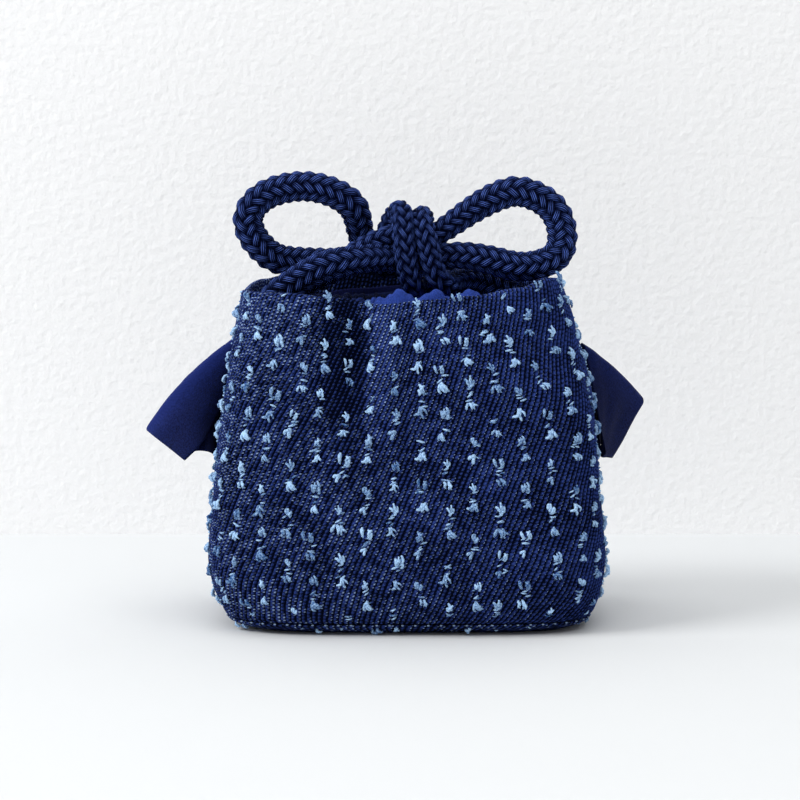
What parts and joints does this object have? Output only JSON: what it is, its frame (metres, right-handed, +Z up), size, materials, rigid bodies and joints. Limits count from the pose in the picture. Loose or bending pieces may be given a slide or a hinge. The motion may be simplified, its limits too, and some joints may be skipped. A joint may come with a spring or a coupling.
{
  "type": "kinchaku drawstring pouch",
  "caption": "Boxy denim pouch with a cotton lining, its gathered mouth drawn shut by a thick braided cord tied in a bow, and a folded pull tab at each side.",
  "frame": {"origin": "on the ground, under the middle of the pouch and its two pull tabs, cord left out", "axes": "+X along the pouch's width to the picture's right, +Y from the front to the back, +Z up"},
  "size_m": [0.1324, 0.067, 0.1166],
  "materials": {
    "denim": "indigo cotton twill with cut pale blue weft tufts",
    "cotton": "plain-woven navy cotton, matte",
    "cord": "braided navy cotton cord, soft sheen"
  },
  "bodies": {
    "root": {"front_panel": "denim", "back_panel": "denim", "bottom_panel": "denim", "lining_front": "cotton", "lining_back": "cotton", "lining_bottom": "cotton", "collar_front": "cotton", "collar_back": "cotton", "drawstring": "cord", "tab_left": "cotton", "tab_right": "cotton"}
  },
  "joints": []
}
